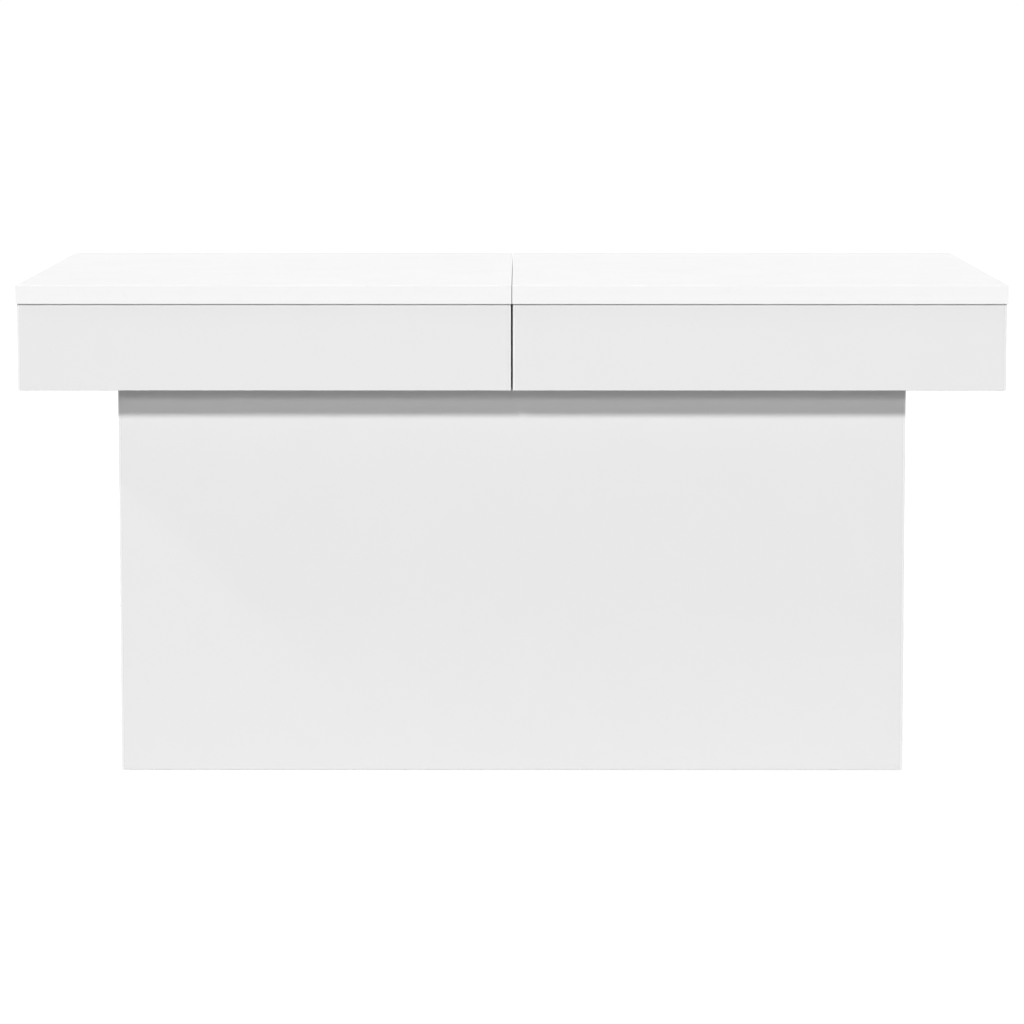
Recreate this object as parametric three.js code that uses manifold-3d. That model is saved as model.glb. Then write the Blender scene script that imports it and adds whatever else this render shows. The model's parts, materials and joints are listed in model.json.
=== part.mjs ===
// A lift-top coffee table in white board, in millimetres: +X to the right, +Y to the back, +Z up.
// The origin is on the floor, under the middle of the table.
//
// A hollow pedestal with a middle partition carries two shallow trays, side by side. Each tray has its
// own lid, and each lid rises level, up and towards the front, on two steel lift units. A lift unit is
// a parallelogram: a base bracket on the tray's wall, two equal arms and a bracket under the lid. A bar
// joins the rear arms of a lid's two units, so that both sides rise together.
import * as THREE from "three";
import { mergeVertices } from "three/addons/utils/BufferGeometryUtils.js";
import Module from "manifold-3d";

const wasm = await Module();
wasm.setup();

// ---- driving dimensions ---------------------------------------------------------------------------

const TABLE = { width: 800, depth: 500, height: 400 };
const BOARD = 15; // the thickness of every board
const JOINT = 0.2; // the hairline between two boards that are screwed together
const PEDESTAL = { width: 640, depth: 450 };
const GLIDE = { height: 1, radius: 9, inset: 55 };
const PEDESTAL_FLOOR_UNDERSIDE = 12;
const TRAY = {
  height: 69.7,
  underside: 315,
  lidOverhang: 1.2, // the lid stands proud of the tray at the front, the back and the outer end
  wallGap: 0.4, // between the two trays' middle walls
  apronGap: 1.6, // between their aprons, which are cut a little short so that the walls meet
};
const LEDGE_REACH = 24; // how far the outer ledge reaches inwards over the pedestal's side
const RAIL_WIDTH = 33;
const LID_MIDDLE_GAP = 0.5; // between the two lids
const STEEL = 2; // the brackets' sheet
const RUNNING_GAP = 0.3; // between a pin and its hole

// The pivots of a lift unit, as [y, z] with the lid down. The lid's pivots are one arm further back.
const ARM = { length: 200, width: 16, thickness: 3, swing: 112 };
const REAR_PIVOT = [-130, 345];
const FRONT_PIVOT = [-173, 370];
const PIN_RADIUS = 4;
const HEAD_RADIUS = 6.5;
const HEAD = 1; // the thickness of a rivet's head, and of the washers that keep the arms apart
const BAR = { radius: 7, wall: 1.5, reach: 60 }; // reach is its distance from the rear pivot
const SPRING = { radius: 8, wire: 2.6, turns: 5, leg: 42, step: Math.PI / 6 };

// ---- what follows from them -----------------------------------------------------------------------

const LID_UNDERSIDE = TABLE.height - BOARD;
const TRAY_TOP = TRAY.underside + TRAY.height;
const TRAY_FLOOR = TRAY.underside + BOARD;
const TRAY_HALF_DEPTH = TABLE.depth / 2 - TRAY.lidOverhang;
const TRAY_INNER_HALF_DEPTH = TRAY_HALF_DEPTH - BOARD;
const TRAY_OUTER_END = TABLE.width / 2 - TRAY.lidOverhang;
const TRAY_INNER_END = TRAY.wallGap / 2;
const OUTER_WALL = TRAY_OUTER_END - BOARD; // the inner faces of a tray's two end walls
const INNER_WALL = TRAY_INNER_END + BOARD;

// Across a lift unit, measured from the wall that it is screwed to.
const WEB = [0.3, 0.3 + STEEL];
const BASE_HEAD = [WEB[1] + 0.3, WEB[1] + 0.3 + HEAD];
const ARM_SPAN = [4, 4 + ARM.thickness];
const LID_WEB = [8.4, 8.4 + STEEL];
const BASE_FLANGE_WIDTH = 27;
const LID_FLANGE_WIDTH = 28;
const SPRING_SPAN = [9.4, 24];
const LONG_PIN_END = 28;

const REAR_LID_PIVOT = [REAR_PIVOT[0] + ARM.length, REAR_PIVOT[1]];
const FRONT_LID_PIVOT = [FRONT_PIVOT[0] + ARM.length, FRONT_PIVOT[1]];

// ---- materials ------------------------------------------------------------------------------------

function material(color, roughness, metalness) {
  return new THREE.MeshStandardMaterial({ color, roughness, metalness });
}
const carcassWhite = material(0xebebeb, 0.45, 0);
const lidWhite = material(0xf6f6f6, 0.4, 0);
const blackSteel = material(0x2a2b2d, 0.45, 0.6);
const zincSteel = material(0xb9bcc0, 0.3, 0.9);
const springSteel = material(0x8b8e93, 0.35, 0.9);
const greyPlastic = material(0xc9c9c7, 0.6, 0);
const blackRubber = material(0x1c1c1c, 0.85, 0);

// ---- solids ---------------------------------------------------------------------------------------

// A closed geometry as a manifold-3d solid.
function solid(geometry) {
  const bare = geometry.clone();
  bare.deleteAttribute("normal");
  bare.deleteAttribute("uv");
  const merged = mergeVertices(bare, 1e-4);
  return new wasm.Manifold(
    new wasm.Mesh({
      numProp: 3,
      vertProperties: merged.attributes.position.array,
      triVerts: new Uint32Array(merged.index.array),
    }),
  );
}

function geometryOf(made) {
  const { vertProperties, triVerts } = made.getMesh();
  const geometry = new THREE.BufferGeometry()
    .setAttribute("position", new THREE.BufferAttribute(vertProperties, 3))
    .setIndex(new THREE.BufferAttribute(triVerts, 1));
  geometry.computeVertexNormals();
  return geometry;
}

function joined(...geometries) {
  return geometryOf(geometries.map(solid).reduce((all, next) => all.add(next)));
}

function block([x0, x1], [y0, y1], [z0, z1]) {
  return new THREE.BoxGeometry(x1 - x0, y1 - y0, z1 - z0).translate(
    (x0 + x1) / 2,
    (y0 + y1) / 2,
    (z0 + z1) / 2,
  );
}

// An outline drawn in [y, z] and given its thickness along X.
function sheet(outline, [x0, x1], curveSegments = 6) {
  return new THREE.ExtrudeGeometry(outline, {
    depth: x1 - x0,
    bevelEnabled: false,
    curveSegments,
  })
    .applyMatrix4(new THREE.Matrix4().set(0, 0, 1, x0, 1, 0, 0, 0, 0, 1, 0, 0, 0, 0, 0, 1));
}

// A turned piece on an axis along X through [y, z]. The steps are [x, radius], from the low end up.
function turned(steps, [y, z], segments = 16) {
  const low = steps[0][0];
  const high = steps[steps.length - 1][0];
  const profile = [[low, 0], ...steps, [high, 0]].map(([x, r]) => new THREE.Vector2(r, x));
  return new THREE.LatheGeometry(profile, segments).rotateZ(-Math.PI / 2).translate(0, y, z);
}

function circle([y, z], radius) {
  return new THREE.Path().absarc(y, z, radius, 0, 2 * Math.PI, true);
}

function mesh(name, geometry, itsMaterial) {
  const made = new THREE.Mesh(geometry, itsMaterial);
  made.name = name;
  return made;
}

function board(name, xs, ys, zs, itsMaterial = carcassWhite) {
  return mesh(name, block(xs, ys, zs), itsMaterial);
}

// ---- the pedestal ---------------------------------------------------------------------------------

function pedestal() {
  const group = new THREE.Group();
  const halfWidth = PEDESTAL.width / 2;
  const halfDepth = PEDESTAL.depth / 2;
  const sideLength = halfDepth - BOARD - JOINT;
  const height = [GLIDE.height, TRAY.underside - JOINT];
  const floorTop = PEDESTAL_FLOOR_UNDERSIDE + BOARD;
  const innerHalfWidth = halfWidth - BOARD;
  group.add(
    board("pedestal_front_panel", [-halfWidth, halfWidth], [-halfDepth, BOARD - halfDepth], height),
    board("pedestal_back_panel", [-halfWidth, halfWidth], [halfDepth - BOARD, halfDepth], height),
    board("pedestal_left_side", [-halfWidth, -innerHalfWidth], [-sideLength, sideLength], height),
    board("pedestal_right_side", [innerHalfWidth, halfWidth], [-sideLength, sideLength], height),
    board(
      "pedestal_floor",
      [JOINT - innerHalfWidth, innerHalfWidth - JOINT],
      [-sideLength, sideLength],
      [PEDESTAL_FLOOR_UNDERSIDE, floorTop],
    ),
    board(
      "pedestal_partition",
      [-BOARD / 2, BOARD / 2],
      [-sideLength, sideLength],
      [floorTop + JOINT, height[1]],
    ),
  );
  for (const [across, x] of [["left", -1], ["right", 1]])
    for (const [along, y] of [["front", -1], ["back", 1]])
      group.add(
        glide(
          `glide_${along}_${across}`,
          x * (halfWidth - BOARD / 2),
          y * (halfDepth - GLIDE.inset),
        ),
      );
  return group;
}

// A round plastic glide, pinned under the edge of a pedestal's side.
function glide(name, x, y) {
  const rim = 0.3;
  const profile = [
    [0, 0],
    [GLIDE.radius - rim, 0],
    [GLIDE.radius, rim],
    [GLIDE.radius, GLIDE.height - JOINT],
    [0, GLIDE.height - JOINT],
  ].map(([r, z]) => new THREE.Vector2(r, z));
  const disc = new THREE.LatheGeometry(profile, 20).rotateX(Math.PI / 2);
  // The disc is wider than the board's edge, so it is cut flat along both faces of the panel.
  const trimmed = solid(disc).intersect(
    solid(block([0.3 - BOARD / 2, BOARD / 2 - 0.3], [-20, 20], [-1, GLIDE.height])),
  );
  const made = mesh(name, geometryOf(trimmed), greyPlastic);
  made.position.set(x, y, 0);
  return made;
}

// ---- a tray and its lid, as the right-hand one -----------------------------------------------------

function tray(side) {
  const group = new THREE.Group();
  const width = [TRAY.apronGap / 2, TRAY_OUTER_END];
  const wallLength = [JOINT - TRAY_INNER_HALF_DEPTH, TRAY_INNER_HALF_DEPTH - JOINT];
  const height = [TRAY.underside, TRAY_TOP];
  const floor = [TRAY.underside, TRAY_FLOOR];
  const ledgeEdge = PEDESTAL.width / 2 - LEDGE_REACH;
  const railEdge = TRAY_INNER_HALF_DEPTH - RAIL_WIDTH;
  const railLength = [INNER_WALL + JOINT, ledgeEdge - JOINT];
  group.add(
    board(`${side}_tray_front_apron`, width, [-TRAY_HALF_DEPTH, -TRAY_INNER_HALF_DEPTH], height),
    board(`${side}_tray_back_apron`, width, [TRAY_INNER_HALF_DEPTH, TRAY_HALF_DEPTH], height),
    board(`${side}_tray_end_apron`, [OUTER_WALL, TRAY_OUTER_END], wallLength, height),
    board(`${side}_tray_middle_wall`, [TRAY_INNER_END, INNER_WALL], wallLength, height),
    board(`${side}_tray_floor_ledge`, [ledgeEdge, OUTER_WALL - JOINT], wallLength, floor),
    board(`${side}_tray_front_rail`, railLength, [wallLength[0], -railEdge], floor),
    board(`${side}_tray_back_rail`, railLength, [railEdge, wallLength[1]], floor),
  );
  return group;
}

function lid(side) {
  return board(
    `${side}_lid_panel`,
    [LID_MIDDLE_GAP / 2, TABLE.width / 2],
    [-TABLE.depth / 2, TABLE.depth / 2],
    [LID_UNDERSIDE, TABLE.height],
    lidWhite,
  );
}

// ---- a lift unit, with X measured inwards from the wall that carries it ------------------------------

const SCREW_HOLE = 4.2;
const BASE = { front: -200, back: 70, top: 382, low: 354, bottom: TRAY_FLOOR + 0.4 };

// The tall end carries the pivots, and the low end runs back under the folded arms.
function baseWebOutline() {
  const corner = 8;
  const outline = new THREE.Shape();
  outline.moveTo(BASE.front, BASE.bottom);
  outline.lineTo(BASE.back, BASE.bottom);
  outline.lineTo(BASE.back, BASE.low - corner);
  outline.absarc(BASE.back - corner, BASE.low - corner, corner, 0, Math.PI / 2, false);
  outline.lineTo(REAR_PIVOT[0] + 24, BASE.low);
  outline.lineTo(FRONT_PIVOT[0] + 14, BASE.top);
  outline.lineTo(BASE.front + corner, BASE.top);
  outline.absarc(BASE.front + corner, BASE.top - corner, corner, Math.PI / 2, Math.PI, false);
  outline.closePath();
  for (const screw of baseScrews()) outline.holes.push(circle(screw, SCREW_HOLE));
  for (const pivot of [REAR_PIVOT, FRONT_PIVOT])
    outline.holes.push(circle(pivot, PIN_RADIUS + RUNNING_GAP));
  return outline;
}

// The countersunk screws that hold the web to the wall.
function baseScrews() {
  const height = 341;
  return [-188, -95, -25, 50].map((y) => [y, height]);
}

// The stop that the rear arm's front edge meets when the lid is up.
function openStop() {
  const radius = 3.5;
  const along = 18;
  const up = THREE.MathUtils.degToRad(ARM.swing);
  const off = ARM.width / 2 + radius + RUNNING_GAP;
  const centre = [
    REAR_PIVOT[0] + along * Math.cos(up) - off * Math.sin(up),
    REAR_PIVOT[1] + along * Math.sin(up) + off * Math.cos(up),
  ];
  return turned([[WEB[1] - 1, radius], [ARM_SPAN[1] + 1, radius]], centre, 12);
}

function baseBracket(name) {
  const web = sheet(baseWebOutline(), WEB);
  const flange = block(
    [WEB[0], BASE_FLANGE_WIDTH],
    [BASE.front, BASE.back],
    [BASE.bottom, BASE.bottom + STEEL],
  );
  return mesh(name, joined(web, flange, openStop()), blackSteel);
}

// A flat arm with round ends and a hole at each pivot, lying back along +Y from its lower pivot.
function arm(name, [y, z]) {
  const half = ARM.width / 2;
  const end = y + ARM.length;
  const outline = new THREE.Shape();
  outline.absarc(end, z, half, -Math.PI / 2, Math.PI / 2, false);
  outline.absarc(y, z, half, Math.PI / 2, 1.5 * Math.PI, false);
  outline.closePath();
  for (const pivot of [y, end]) outline.holes.push(circle([pivot, z], PIN_RADIUS + RUNNING_GAP));
  return mesh(name, sheet(outline, ARM_SPAN, 8), blackSteel);
}

// A pin riveted into the base bracket's web, with a collar behind the arm and a head in front of it.
function basePin(name, pivot, headStart) {
  const steps = [
    [WEB[0], PIN_RADIUS],
    [BASE_HEAD[0], PIN_RADIUS],
    [BASE_HEAD[0], HEAD_RADIUS],
    [BASE_HEAD[1], HEAD_RADIUS],
    [BASE_HEAD[1], PIN_RADIUS],
    [headStart, PIN_RADIUS],
    [headStart, HEAD_RADIUS],
    [headStart + 1.6, HEAD_RADIUS - 0.4],
  ];
  return mesh(name, turned(steps, pivot), zincSteel);
}

// An angle screwed under the lid, with an ear that carries the two upper pivots as riveted studs.
function lidBracket(name) {
  const [front, back] = [-90, 170];
  const top = LID_UNDERSIDE - RUNNING_GAP;
  const legBottom = top - 11;
  const [rearY, rearZ] = REAR_LID_PIVOT;
  const [frontY, frontZ] = FRONT_LID_PIVOT;
  const round = 10;
  const outline = new THREE.Shape();
  outline.moveTo(back, top);
  outline.lineTo(front, top);
  outline.lineTo(front, legBottom);
  outline.lineTo(frontY - 16, legBottom);
  outline.absarc(frontY, frontZ, round, Math.PI, 1.3 * Math.PI, false);
  outline.absarc(rearY, rearZ, round, 1.3 * Math.PI, 2 * Math.PI, false);
  outline.lineTo(rearY + 16, legBottom);
  outline.lineTo(back, legBottom);
  outline.closePath();
  const flange = block([LID_WEB[0], LID_FLANGE_WIDTH], [front, back], [top - STEEL, top]);
  const holes = lidScrews().map(([x, y]) =>
    solid(
      new THREE.CylinderGeometry(2.6, 2.6, 3 * STEEL, 12)
        .rotateX(Math.PI / 2)
        .translate(x, y, top - STEEL / 2),
    ),
  );
  const studs = [REAR_LID_PIVOT, FRONT_LID_PIVOT].map(lidStud);
  const whole = solid(joined(sheet(outline, LID_WEB), flange, ...studs));
  return mesh(name, geometryOf(holes.reduce((left, hole) => left.subtract(hole), whole)), blackSteel);
}

// The pan-head screws that hold the lid's bracket, as [x, y] in the unit.
function lidScrews() {
  const x = (LID_WEB[1] + LID_FLANGE_WIDTH) / 2;
  return [-75, 0, 80, 155].map((y) => [x, y]);
}

function lidStud(pivot) {
  const steps = [
    [BASE_HEAD[0], HEAD_RADIUS],
    [BASE_HEAD[1], HEAD_RADIUS],
    [BASE_HEAD[1], PIN_RADIUS],
    [LID_WEB[0] + 1, PIN_RADIUS],
  ];
  return turned(steps, pivot);
}

// Where on the coil, as an angle from +Y, a straight leg to a point leaves it. The point is given from
// the coil's axis, and the leg runs over the coil where side is 1 and under it where side is -1.
function legAngle([y, z], side) {
  return Math.atan2(z, y) + side * Math.acos(SPRING.radius / Math.hypot(y, z));
}

// The lifting spring: a coil around the long pin. One leg is hooked under the rear arm and the other
// bears down on the bracket's flange, so that lowering the lid winds the coil tighter.
function torsionSpring(name) {
  const [y, z] = REAR_PIVOT;
  const [from, to] = SPRING_SPAN;
  const clearance = SPRING.wire / 2 + RUNNING_GAP;
  const hook = [SPRING.leg, -ARM.width / 2 - clearance];
  const foot = [SPRING.leg, BASE.bottom + STEEL + clearance - z];
  const start = legAngle(hook, 1);
  const sweep = legAngle(foot, -1) + 2 * Math.PI * SPRING.turns - start;
  const count = Math.ceil(sweep / SPRING.step);
  const points = [
    new THREE.Vector3(ARM_SPAN[0], y + hook[0], z + hook[1]),
    new THREE.Vector3(ARM_SPAN[1], y + hook[0], z + hook[1]),
  ];
  for (let i = 0; i <= count; i += 1) {
    const turn = start + (sweep * i) / count;
    points.push(
      new THREE.Vector3(
        from + ((to - from) * i) / count,
        y + SPRING.radius * Math.cos(turn),
        z + SPRING.radius * Math.sin(turn),
      ),
    );
  }
  points.splice(2, 0, points[1].clone().lerp(points[2], 0.1).setX(from));
  points.push(new THREE.Vector3(to, y + foot[0], z + foot[1]));
  const section = new THREE.Shape().absarc(0, 0, SPRING.wire / 2, 0, 2 * Math.PI, false);
  const geometry = new THREE.ExtrudeGeometry(section, {
    steps: points.length + 20,
    curveSegments: 6,
    extrudePath: new THREE.CatmullRomCurve3(points, false, "centripetal"),
  });
  return mesh(name, geometry, springSteel);
}

// The rubber pad that the folded rear arm comes down on.
function restBuffer(name) {
  const base = BASE.bottom + STEEL + RUNNING_GAP;
  const top = REAR_PIVOT[1] - ARM.width / 2 - RUNNING_GAP;
  return mesh(name, block([3, 8], [32, 50], [base, top]), blackRubber);
}

function liftUnit(prefix) {
  const group = new THREE.Group();
  group.add(
    baseBracket(`${prefix}_base_bracket`),
    arm(`${prefix}_rear_arm`, REAR_PIVOT),
    arm(`${prefix}_front_arm`, FRONT_PIVOT),
    lidBracket(`${prefix}_lid_bracket`),
    torsionSpring(`${prefix}_lift_spring`),
    basePin(`${prefix}_rear_pin`, REAR_PIVOT, LONG_PIN_END - 1.6),
    basePin(`${prefix}_front_pin`, FRONT_PIVOT, ARM_SPAN[1] + RUNNING_GAP),
    restBuffer(`${prefix}_rest_buffer`),
  );
  return group;
}

// The tube welded between the rear arms of a lid's two units.
function syncBar(side) {
  const centre = [REAR_PIVOT[0] + BAR.reach, REAR_PIVOT[1]];
  const outline = new THREE.Shape().absarc(...centre, BAR.radius, 0, 2 * Math.PI, false);
  outline.holes.push(circle(centre, BAR.radius - BAR.wall));
  const span = [INNER_WALL + ARM_SPAN[1] + JOINT, OUTER_WALL - ARM_SPAN[1] - JOINT];
  return mesh(`${side}_sync_bar`, sheet(outline, span, 10), blackSteel);
}

// ---- the whole table ---------------------------------------------------------------------------------

// The right-hand tray, lid and lift units. The left-hand half is their mirror image.
function half(side) {
  const group = new THREE.Group();
  const middle = liftUnit(`${side}_middle`);
  const end = liftUnit(`${side}_end`);
  middle.position.x = INNER_WALL;
  end.position.x = OUTER_WALL;
  end.scale.x = -1;
  group.add(tray(side), lid(side), middle, end, syncBar(side));
  if (side === "left") group.scale.x = -1;
  return group;
}

const table = new THREE.Group();
table.add(pedestal(), half("left"), half("right"));

export default table;
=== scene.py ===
"""A lift-top coffee table in white board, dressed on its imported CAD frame.

Lengths inside the builders are in millimetres; everything that reaches Blender is in metres.
"""

import json
import math

import bpy
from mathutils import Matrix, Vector

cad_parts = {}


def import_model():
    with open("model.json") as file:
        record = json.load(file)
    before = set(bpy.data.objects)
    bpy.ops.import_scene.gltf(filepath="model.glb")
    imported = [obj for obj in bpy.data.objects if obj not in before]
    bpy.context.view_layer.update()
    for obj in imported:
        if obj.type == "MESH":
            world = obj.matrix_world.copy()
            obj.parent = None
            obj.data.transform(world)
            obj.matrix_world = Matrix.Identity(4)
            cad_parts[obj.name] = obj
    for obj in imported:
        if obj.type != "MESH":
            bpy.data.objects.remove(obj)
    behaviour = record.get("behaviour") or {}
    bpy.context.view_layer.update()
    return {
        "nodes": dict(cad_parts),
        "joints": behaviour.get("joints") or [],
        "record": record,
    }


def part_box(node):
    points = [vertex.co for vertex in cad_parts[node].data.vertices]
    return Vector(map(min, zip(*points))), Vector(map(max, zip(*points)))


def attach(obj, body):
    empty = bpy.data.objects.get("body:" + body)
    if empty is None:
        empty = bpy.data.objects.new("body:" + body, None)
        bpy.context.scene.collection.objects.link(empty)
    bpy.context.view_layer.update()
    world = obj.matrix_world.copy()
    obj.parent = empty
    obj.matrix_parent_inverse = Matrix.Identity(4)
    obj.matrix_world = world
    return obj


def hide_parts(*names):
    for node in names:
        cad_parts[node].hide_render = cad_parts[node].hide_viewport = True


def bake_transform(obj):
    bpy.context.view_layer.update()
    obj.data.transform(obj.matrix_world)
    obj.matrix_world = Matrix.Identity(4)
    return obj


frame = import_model()

MM = 0.001
SIDES = ("left", "right")
ENDS = ("middle", "end")
BODY_OF = {
    node: body
    for body, nodes in frame["record"]["behaviour"]["bodies"].items()
    for node in nodes
}
JOINTS = {joint["name"]: joint for joint in frame["joints"]}


def box(node):
    """A node's lowest and highest corners at rest, in millimetres."""
    return [Vector(corner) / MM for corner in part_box(node)]


def pivot(joint):
    """Where a joint's axis crosses the side view at rest, as (y, z) in millimetres."""
    return tuple(value / MM for value in JOINTS[joint]["pos_m"][1:])


# ---- sizes, in millimetres ------------------------------------------------------------------------

EDGE_BAND = 0.8
# The wide band is a little lighter than the board, so it shows as a painted highlight down the upright edges
# of the front and back boards.
THICK_BAND = 2.0  # on the boards whose upright edges show beside their faces
GLUE_LINE = 0.12
ARRIS = 0.25
LID_ARRIS = 0.08
EASED_EDGE = (2.4, 0.45)  # the reach over the face and the depth of an upright edge's easing
FLAT_MARGIN = 0.4  # the strip beside a rounding that keeps the flats flat under smooth shading
SHARP_ANGLE = 38  # degrees, past which an edge isn't shaded smooth

REAR_PIVOT = pivot("left_lift")
FRONT_PIVOT = pivot("left_front_arm_turn")
ARM_LENGTH = pivot("left_lid_level")[0] - REAR_PIVOT[0]
SWING = JOINTS["left_lift"]["range_deg"][1]
ARM_WIDTH = 16.0
PIN_RADIUS = 4.0
HEAD_RADIUS = 6.5
RUNNING_GAP = 0.3
SHEET = 2.0
BEND_RADIUS = 2.0  # inside a folded sheet
BAR_RADIUS = 7.0
BAR_REACH = 60.0  # from the rear pivot to the sync bar
WELD = 1.9  # the size of the bead round the bar's end
REAR_RIB = (78, 182)  # where the pressed rib of an arm starts and ends, from its lower pivot
FRONT_RIB = (20, 180)
RIB_RADIUS = 3.4
STOP_REACH = 18.0  # from the rear pivot to the point of the raised arm that meets the stop
STOP_RADIUS = 3.5
SPRING_RADIUS = 8.0
SPRING_WIRE = 2.6
SPRING_TURNS = 5
SPRING_LEG = 42.0
REST_PAD = ((3.2, 32.0), (8.0, 50.0))  # its corners, as (out from the wall, y)

# Across a lift unit, from the wall that it is screwed to.
WEB_SPAN = (0.3, 2.3)
ARM_SPAN = (4.0, 7.0)
LID_WEB_SPAN = (8.4, 10.4)
SPRING_SPAN = (9.4, 24.0)

BASE_LOW, BASE_HIGH = box("left_end_base_bracket")
BASE_WIDTH = 27.0
BASE_SHOULDER = 354.0  # the top of the bracket behind its pivots
BASE_CORNER = 8.0
BASE_SLOPE = (24.0, 14.0)  # where its top slopes, from behind the rear pivot to behind the front one
BASE_SCREWS = [(y, 341.0) for y in (-188, -95, -25, 50)]
BASE_SCREW_HOLE = 4.2
BASE_SCREW_HEAD = (3.9, 0.8)  # radius and rise
FLANGE_TOP = BASE_LOW.z + SHEET

LID_LOW, LID_HIGH = box("left_end_lid_bracket")
LID_BRACKET_WIDTH = 28.0
LID_BRACKET_LEG = 11.0
LID_BRACKET_EAR = 10.0  # the radius of its web round each pivot
LID_EAR_REACH = 16.0  # from a pivot to where the leg runs straight again
LID_SCREWS = (-75, 0, 80, 155)
LID_SCREW_HOLE = 2.6
LID_SCREW_HEAD = (4.3, 2.1)

CAM_RADIUS = 7.4
TRAY_CAMS = [(y, 352.0) for y in (-209.5, 209.5)]
PEDESTAL_CAMS = [(y, z) for y in (-185.8, 185.8) for z in (60, 165, 270)]
LEDGE_CAPS = (-150, 0, 150)
RAIL_CAPS = (0.25, 0.75)  # as shares of a rail's length


# ---- materials ------------------------------------------------------------------------------------


class Shader:
    """A Principled material whose nodes are added one call at a time."""

    def __init__(self, name, color, roughness, metallic=0.0, **constants):
        self.material = bpy.data.materials.new(name)
        self.material.use_nodes = True
        self.tree = self.material.node_tree
        self.bsdf = self.tree.nodes["Principled BSDF"]
        self.bsdf.inputs["Base Color"].default_value = (*color, 1)
        self.bsdf.inputs["Roughness"].default_value = roughness
        self.bsdf.inputs["Metallic"].default_value = metallic
        for socket, value in constants.items():
            self.bsdf.inputs[socket.replace("_", " ")].default_value = value
        self.coordinates = self.node("ShaderNodeTexCoord").outputs["Object"]
        self.color = color

    def node(self, kind, **settings):
        made = self.tree.nodes.new(kind)
        for key, value in settings.items():
            setattr(made, key, value)
        return made

    def link(self, output, socket):
        self.tree.links.new(output, socket)

    def noise(self, scale, detail, distortion=0.0):
        noise = self.node("ShaderNodeTexNoise")
        noise.inputs["Scale"].default_value = scale
        noise.inputs["Detail"].default_value = detail
        noise.inputs["Distortion"].default_value = distortion
        self.link(self.coordinates, noise.inputs["Vector"])
        return noise.outputs["Fac"]

    def spread(self, value, low, high, start=0.3, end=0.7):
        """value from start..end as low..high."""
        node = self.node("ShaderNodeMapRange")
        for socket, number in (("From Min", start), ("From Max", end), ("To Min", low), ("To Max", high)):
            node.inputs[socket].default_value = number
        self.link(value, node.inputs["Value"])
        return node.outputs["Result"]

    def tint(self, factor, other, base=None):
        """The base colour, or another mix's output, turning into other as factor goes from 0 to 1."""
        mix = self.node("ShaderNodeMix", data_type="RGBA")
        if base is None:
            mix.inputs["A"].default_value = (*self.color, 1)
        else:
            self.link(base, mix.inputs["A"])
        mix.inputs["B"].default_value = (*other, 1)
        self.link(factor, mix.inputs["Factor"])
        return mix.outputs["Result"]

    def paint(self, output):
        self.link(output, self.bsdf.inputs["Base Color"])
        return self

    def rough(self, output):
        self.link(output, self.bsdf.inputs["Roughness"])
        return self

    def bump(self, *layers):
        """Each layer is (height, distance in mm, strength)."""
        normal = None
        for height, distance, strength in layers:
            bump = self.node("ShaderNodeBump")
            bump.inputs["Distance"].default_value = distance * MM
            bump.inputs["Strength"].default_value = strength
            self.link(height, bump.inputs["Height"])
            if normal is not None:
                self.link(normal, bump.inputs["Normal"])
            normal = bump.outputs["Normal"]
        self.link(normal, self.bsdf.inputs["Normal"])
        return self


def melamine(name, white, roughness):
    """Satin white melamine paper: a fine orange peel, and a tone that drifts very slightly."""
    shader = Shader(name, (white, white, white), roughness, IOR=1.5)
    drift = shader.spread(shader.noise(2.2, 3), 0, 1)
    speck = shader.spread(shader.noise(420, 2), 0, 0.5, 0.66, 0.76)
    drifted = shader.tint(drift, (white * 0.987,) * 3)
    shader.paint(shader.tint(speck, (white * 0.95,) * 3, drifted))
    shader.rough(shader.spread(shader.noise(26, 5), roughness - 0.05, roughness + 0.06))
    return shader.bump((shader.noise(700, 3), 0.02, 0.25), (shader.noise(55, 2), 0.03, 0.08)).material


def edge_band(name, white, roughness):
    """ABS edge band: a little smoother, with faint lengthwise marks of its trimming."""
    shader = Shader(name, (white, white, white), roughness, IOR=1.5)
    scuff = shader.spread(shader.noise(90, 5, distortion=0.6), 0, 0.6, 0.62, 0.78)
    shader.paint(shader.tint(scuff, (white * 0.955, white * 0.955, white * 0.95)))
    shader.rough(shader.spread(shader.noise(60, 4), roughness - 0.05, roughness + 0.08))
    return shader.bump((shader.noise(1400, 2), 0.012, 0.2)).material


def powder_coat(name):
    """Black powder coat on steel: a tight texture, and a little rubbing."""
    color = (0.02, 0.0205, 0.022)
    shader = Shader(name, color, 0.46, IOR=1.5)
    rub = shader.spread(shader.noise(140, 6, distortion=1.2), 0, 0.8, 0.64, 0.8)
    shader.paint(shader.tint(rub, (0.075, 0.076, 0.08)))
    shader.rough(shader.spread(shader.noise(70, 5), 0.38, 0.56))
    return shader.bump((shader.noise(1900, 3), 0.035, 0.4)).material


def plated(name, color, low, high):
    """Plated or drawn steel, with duller patches; low and high bound its roughness."""
    shader = Shader(name, color, (low + high) / 2, 1.0)
    dull = shader.spread(shader.noise(220, 5, 0.4), 0, 0.7, 0.5, 0.8)
    shader.paint(shader.tint(dull, tuple(c * 0.72 for c in color)))
    shader.rough(shader.spread(shader.noise(300, 4), low, high))
    return shader.bump((shader.noise(900, 3), 0.01, 0.3)).material


def moulded(name, color, roughness, grain=600.0):
    """Plastic, rubber or glue: a slight drift of tone and a fine moulded grain."""
    shader = Shader(name, color, roughness, IOR=1.46)
    drift = shader.spread(shader.noise(35, 3), 0, 1)
    shader.paint(shader.tint(drift, tuple(c * 0.93 for c in color)))
    shader.rough(shader.spread(shader.noise(120, 4), roughness - 0.06, roughness + 0.08))
    return shader.bump((shader.noise(grain, 3), 0.03, 0.35)).material


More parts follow.
